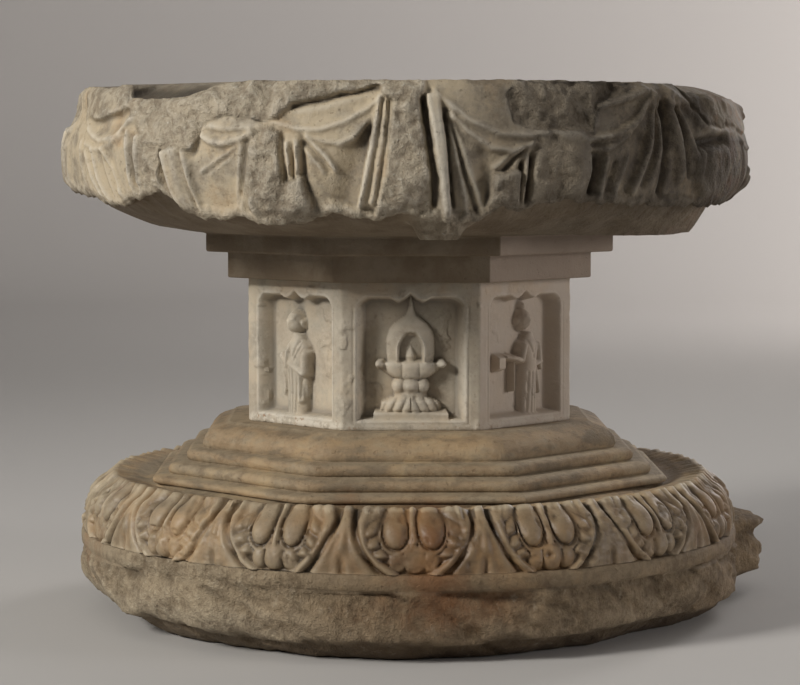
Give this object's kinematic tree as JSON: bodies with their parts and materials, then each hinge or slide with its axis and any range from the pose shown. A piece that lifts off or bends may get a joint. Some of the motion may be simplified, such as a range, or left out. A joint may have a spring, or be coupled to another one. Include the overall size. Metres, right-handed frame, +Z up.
{
  "type": "carved stone image pedestal",
  "caption": "Carved stone pedestal for a seated image: lotus-leaf base, octagonal waist with figure niches, round draped seat.",
  "frame": {"origin": "on the vertical axis, at the centre of the bearing face on the ground", "axes": "+Z up to the seat, -Y towards the front, +X to the right seen from the front"},
  "size_m": [0.7204, 0.6912, 0.5135],
  "materials": {
    "base_stone": "worn limestone with iron staining, rough-hewn below",
    "waist_stone": "worn pale limestone with shallow relief",
    "seat_stone": "worn limestone with rough broken patches"
  },
  "bodies": {
    "root": {"lotus_base": "base_stone", "octagonal_waist": "waist_stone", "draped_seat": "seat_stone"}
  },
  "joints": []
}
